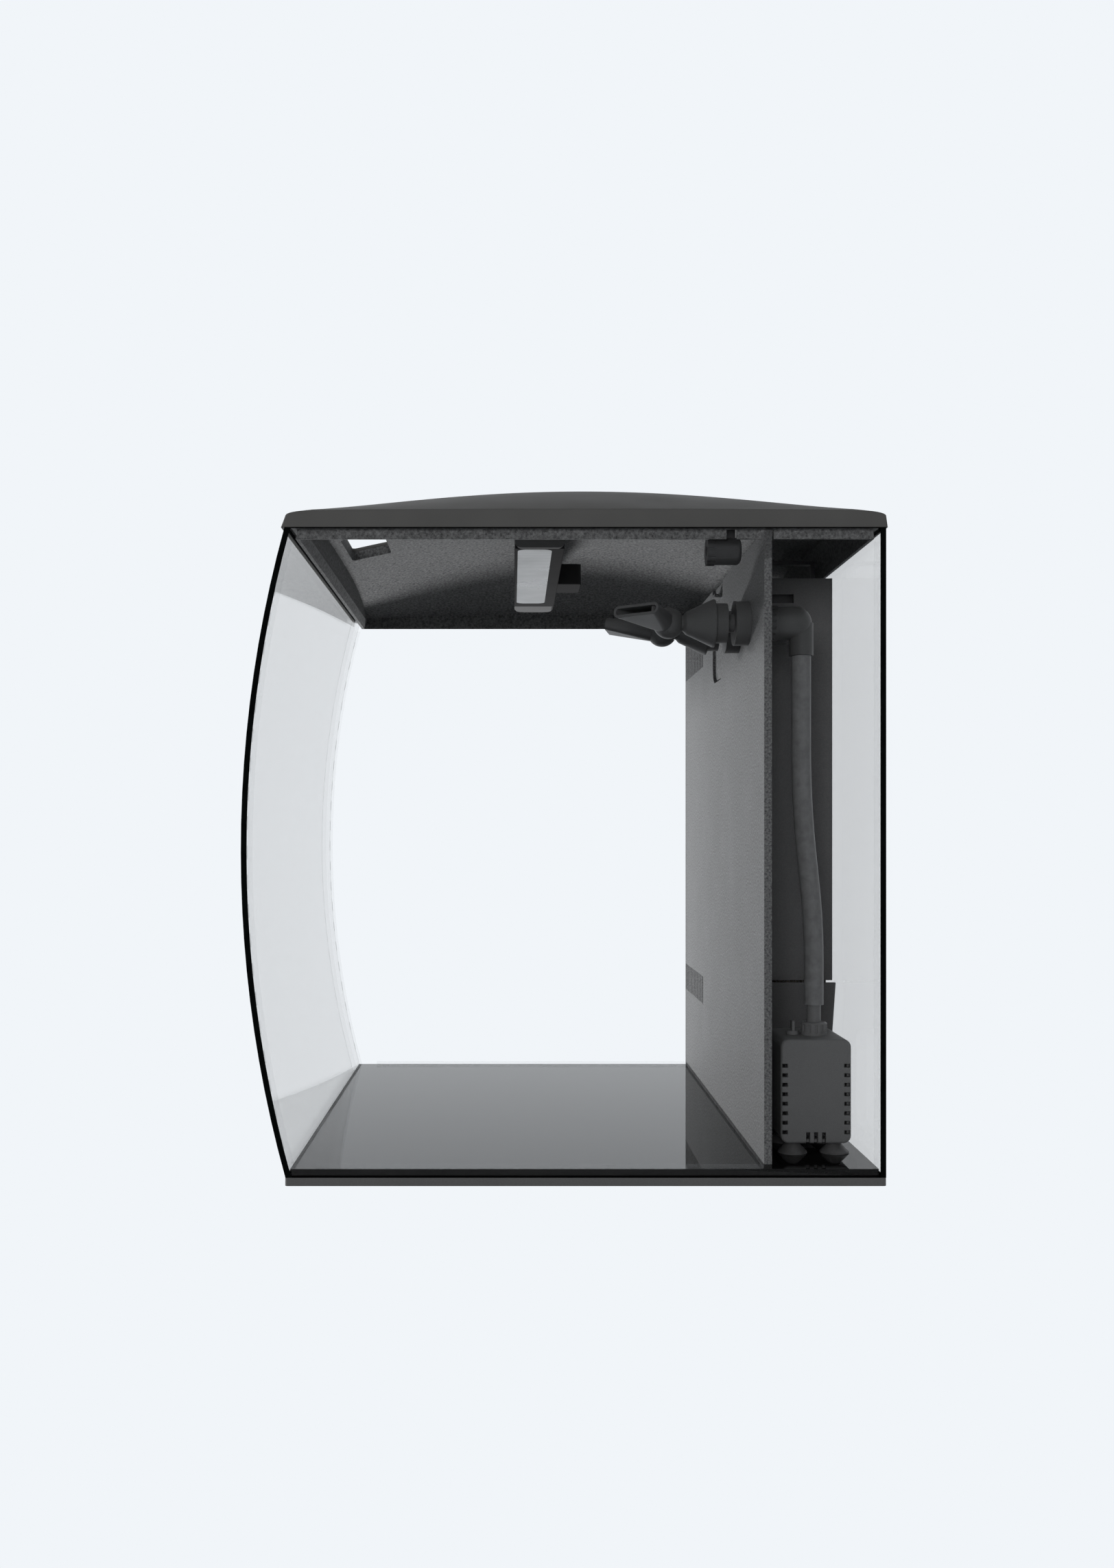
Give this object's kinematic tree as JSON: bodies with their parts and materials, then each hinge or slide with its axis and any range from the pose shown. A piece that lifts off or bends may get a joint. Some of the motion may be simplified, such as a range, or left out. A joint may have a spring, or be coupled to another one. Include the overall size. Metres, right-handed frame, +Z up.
{
  "type": "aquarium",
  "caption": "Tabletop aquarium with a bowed front pane, domed lift-off lid with lamp and feeding port, and a rear filter bay with pump and twin swivel outlets.",
  "frame": {"origin": "on the surface the tank stands on, under the middle of the bounding box", "axes": "+Z up; -Y is the bowed front pane, +Y the rear pane; +X is the side with the pump chamber, right seen from the front"},
  "size_m": [0.41, 0.39, 0.4453],
  "materials": {
    "base_plastic": "satin moulded",
    "foam_mat": "matt foam",
    "black_glass": "polished black",
    "front_pane_glass": "polished clear",
    "rear_pane_glass": "polished clear",
    "side_pane_glass": "polished clear",
    "clear_silicone": "clear",
    "textured_plastic": "fine spark-eroded texture",
    "divider_plastic": "satin moulded",
    "filter_foam": "open-cell foam",
    "basket_plastic": "satin moulded",
    "ceramic_media": "ceramic rings in a mesh bag",
    "carbon_media": "carbon grains in a mesh bag",
    "pump_plastic": "satin moulded",
    "steel_laminations": "stacked sheet",
    "black_rubber": "matt",
    "ceramic_shaft": "polished ceramic",
    "magnet_black": "moulded ferrite",
    "impeller_plastic": "moulded",
    "hose_rubber": "smooth",
    "fitting_plastic": "satin moulded",
    "lid_plastic": "fine satin",
    "lamp_plastic": "satin moulded",
    "lens_plastic": "frosted",
    "circuit_board": "white solder mask",
    "led_face": "phosphor"
  },
  "bodies": {
    "tank": {"base_frame": "base_plastic", "base_mat": "foam_mat", "bottom_panel": "black_glass", "front_glass": "front_pane_glass", "rear_glass": "rear_pane_glass", "right_glass": "side_pane_glass", "left_glass": "side_pane_glass", "silicone_seams": "clear_silicone", "rear_partition": "textured_plastic", "partition_bed": "black_rubber", "pump_divider": "divider_plastic", "flow_baffle": "divider_plastic", "foam_divider": "divider_plastic", "pump_motor_housing": "pump_plastic", "stator_core": "steel_laminations", "pump_strainer": "pump_plastic", "pump_sponge": "filter_foam", "volute_cover": "pump_plastic", "shaft_bushes": "black_rubber", "impeller_shaft": "ceramic_shaft", "suction_cups": "black_rubber", "pump_lead_gland": "black_rubber", "outlet_collar": "pump_plastic", "outlet_barb": "pump_plastic", "pump_hose": "hose_rubber", "outlet_manifold": "fitting_plastic", "bulkhead_right": "fitting_plastic", "bulkhead_gasket_right": "black_rubber", "bulkhead_nut_right": "fitting_plastic", "bulkhead_left": "fitting_plastic", "bulkhead_gasket_left": "black_rubber", "bulkhead_nut_left": "fitting_plastic"},
    "lid": {"lid_shell": "lid_plastic", "lid_liner": "textured_plastic", "feeding_port_collar": "textured_plastic", "lamp_housing": "lamp_plastic", "lamp_lens": "lens_plastic", "led_board": "circuit_board", "led_chips": "led_face", "lamp_end_caps": "lamp_plastic", "lamp_junction_box": "lamp_plastic", "lead_gland": "fitting_plastic", "gland_nut": "fitting_plastic"},
    "foam_cartridge": {"foam_block": "filter_foam", "foam_handle": "divider_plastic"},
    "media_cartridge": {"media_basket": "basket_plastic", "basket_handles": "basket_plastic", "ceramic_bag": "ceramic_media", "carbon_bag": "carbon_media"},
    "gate": {"cable_gate": "textured_plastic"},
    "rotor": {"rotor_magnet": "magnet_black", "impeller": "impeller_plastic"},
    "flow_control": {"flow_lever": "pump_plastic"},
    "link_right": {"outlet_link_right": "fitting_plastic"},
    "link_left": {"outlet_link_left": "fitting_plastic"},
    "nozzle_right": {"fan_nozzle_right": "fitting_plastic"},
    "nozzle_left": {"fan_nozzle_left": "fitting_plastic"}
  },
  "joints": [
    {"name": "lid_lift", "type": "slide", "parent": "tank", "child": "lid", "axis": [0, 0, 1], "range_m": [0, 0.2]},
    {"name": "foam_lift", "type": "slide", "parent": "tank", "child": "foam_cartridge", "axis": [0, 0, 1], "range_m": [0, 0.18]},
    {"name": "basket_lift", "type": "slide", "parent": "tank", "child": "media_cartridge", "axis": [0, 0, 1], "range_m": [0, 0.16]},
    {"name": "gate_lift", "type": "slide", "parent": "tank", "child": "gate", "axis": [0, 0, 1], "range_m": [0, 0.08]},
    {"name": "impeller_spin", "type": "hinge", "parent": "tank", "child": "rotor", "pos_m": [0.13, 0.16025, 0.048], "axis": [1, 0, 0], "continuous": true},
    {"name": "flow_turn", "type": "hinge", "parent": "tank", "child": "flow_control", "pos_m": [0.141, 0.1495, 0.08], "axis": [0, 0, 1], "range_deg": [-60, 60]},
    {"name": "link_right_swivel", "type": "hinge", "parent": "tank", "child": "link_right", "pos_m": [0.141, 0.0919, 0.348], "axis": [0, 1, 0], "range_deg": [-90, 90]},
    {"name": "nozzle_right_pan", "type": "hinge", "parent": "link_right", "child": "nozzle_right", "pos_m": [0.141, 0.0695, 0.348], "axis": [0, 0, 1], "range_deg": [-65, 5]},
    {"name": "link_left_swivel", "type": "hinge", "parent": "tank", "child": "link_left", "pos_m": [0.1, 0.0919, 0.348], "axis": [0, 1, 0], "range_deg": [-90, 90]},
    {"name": "nozzle_left_pan", "type": "hinge", "parent": "link_left", "child": "nozzle_left", "pos_m": [0.1, 0.0695, 0.348], "axis": [0, 0, 1], "range_deg": [-45, 25]}
  ],
  "couplings": [
    {"joint": "foam_lift", "follows": "lid_lift", "ratio": 0.9},
    {"joint": "basket_lift", "follows": "lid_lift", "ratio": 0.8},
    {"joint": "gate_lift", "follows": "lid_lift", "ratio": 0.4}
  ]
}
